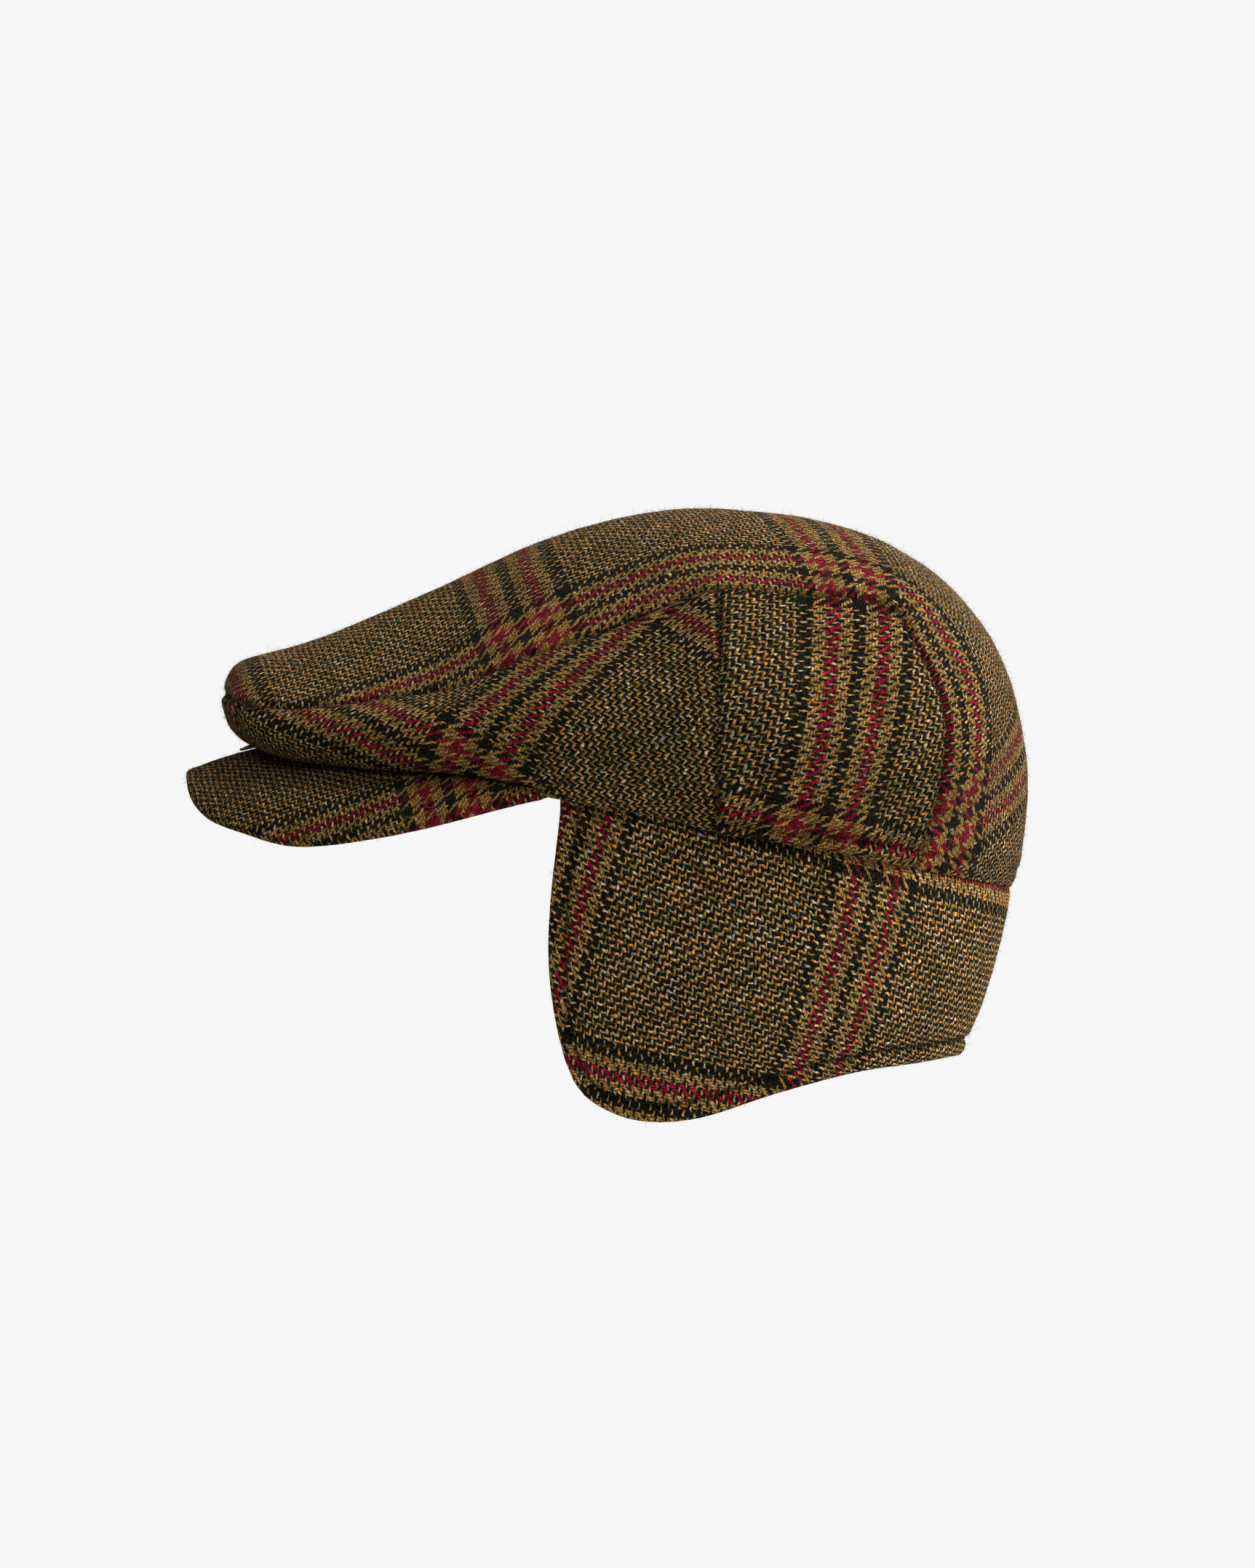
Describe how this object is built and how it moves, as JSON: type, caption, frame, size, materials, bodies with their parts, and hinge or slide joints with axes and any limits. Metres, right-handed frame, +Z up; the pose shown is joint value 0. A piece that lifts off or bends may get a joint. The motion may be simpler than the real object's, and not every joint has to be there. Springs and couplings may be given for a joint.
{
  "type": "earflap flat cap",
  "caption": "Tweed flat cap with a panelled crown, a curved peak and a padded flap round the ears and neck.",
  "frame": {"origin": "middle of the head opening, where the cap sits on a head", "axes": "+Z up, the peak toward -Y, the wearer's left toward +X"},
  "size_m": [0.191, 0.2713, 0.1967],
  "materials": {
    "tweed": "brushed wool tweed",
    "tweed_peak": "brushed wool tweed over a board",
    "tweed_flap": "brushed wool tweed, padded",
    "stud_metal": "aged"
  },
  "bodies": {
    "root": {"crown_top": "tweed", "crown_side_front_left": "tweed", "crown_side_front_right": "tweed", "crown_side_back_left": "tweed", "crown_side_back_right": "tweed", "peak": "tweed_peak", "ear_flap": "tweed_flap", "press_stud": "stud_metal"}
  },
  "joints": []
}
